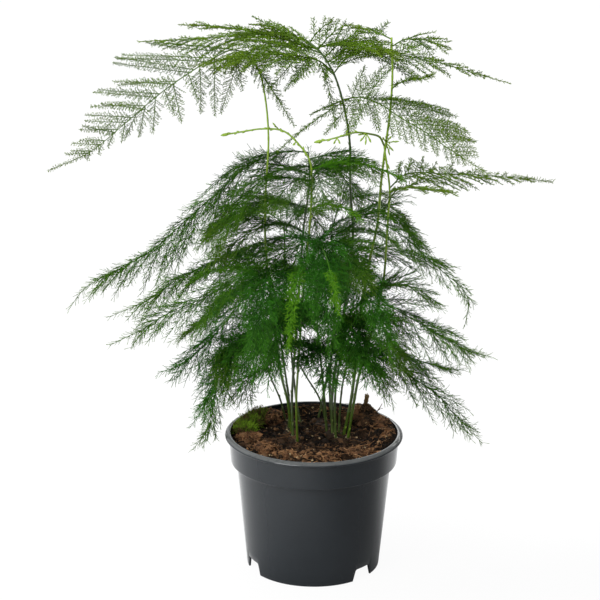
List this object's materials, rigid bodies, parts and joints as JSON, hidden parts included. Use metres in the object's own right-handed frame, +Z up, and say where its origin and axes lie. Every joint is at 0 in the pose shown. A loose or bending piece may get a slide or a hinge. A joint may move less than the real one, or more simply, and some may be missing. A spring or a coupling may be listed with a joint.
{
  "type": "potted asparagus fern",
  "caption": "Young asparagus fern with wiry stems, arching feathery fronds and a dense drooping lower tier, in a round nursery pot with notched foot.",
  "frame": {"origin": "centre of the pot's foot, on the surface it stands on", "axes": "+Z up, +X to the right and +Y to the back as seen from the front"},
  "size_m": [0.3298, 0.2231, 0.3675],
  "materials": {
    "pot": "satin",
    "soil": "matte",
    "peat": "matte",
    "moss": "matte",
    "crown": "matte",
    "dry_wood": "matte",
    "stem_dark": "satin",
    "stem_light": "satin",
    "frond_upper": "matte",
    "frond_lower": "matte",
    "frond_young": "matte"
  },
  "bodies": {
    "root": {"nursery_pot": "pot", "potting_soil": "soil", "peat_mound": "peat", "moss_patch": "moss", "crown_left": "crown", "crown_right": "crown", "stem_stub": "dry_wood", "dry_twig": "dry_wood", "stem_upper_left": "stem_light", "stem_tall_dark": "stem_dark", "stem_right_tall": "stem_light", "stem_right_light": "stem_light", "stem_crest_left": "stem_dark", "stem_mid_left": "stem_dark", "stem_low_left": "stem_dark", "stem_slanting": "stem_dark", "stem_mid_centre": "stem_dark", "stem_right_arch": "stem_dark", "stem_right_low": "stem_dark", "stem_right_lowest": "stem_dark", "stem_back_left": "stem_dark", "stem_back_right": "stem_dark", "young_shoot_left": "stem_light", "young_shoot_right": "stem_light", "frond_upper_left": "frond_upper", "frond_top_left": "frond_upper", "frond_top_middle": "frond_upper", "frond_top_right": "frond_upper", "frond_crown_left": "frond_upper", "frond_crown_right": "frond_upper", "frond_twig_right": "frond_young", "frond_side_right": "frond_upper", "frond_far_right": "frond_upper", "frond_under_right": "frond_upper", "frond_crest_left": "frond_lower", "frond_left_two": "frond_lower", "frond_left_three": "frond_lower", "frond_left_four": "frond_lower", "frond_left_five": "frond_lower", "frond_left_six": "frond_lower", "frond_left_seven": "frond_lower", "frond_left_inner": "frond_lower", "frond_crest_right": "frond_lower", "frond_right_two": "frond_lower", "frond_right_arch": "frond_lower", "frond_right_three": "frond_lower", "frond_right_four": "frond_lower", "frond_right_five": "frond_lower", "frond_right_six": "frond_lower", "frond_front_left": "frond_lower", "frond_front_bright": "frond_young", "frond_front_centre": "frond_lower", "frond_front_right": "frond_lower", "frond_front_low": "frond_young", "frond_back_left": "frond_lower", "frond_back_centre": "frond_lower", "frond_back_right": "frond_lower", "frond_back_low": "frond_lower"}
  },
  "joints": []
}
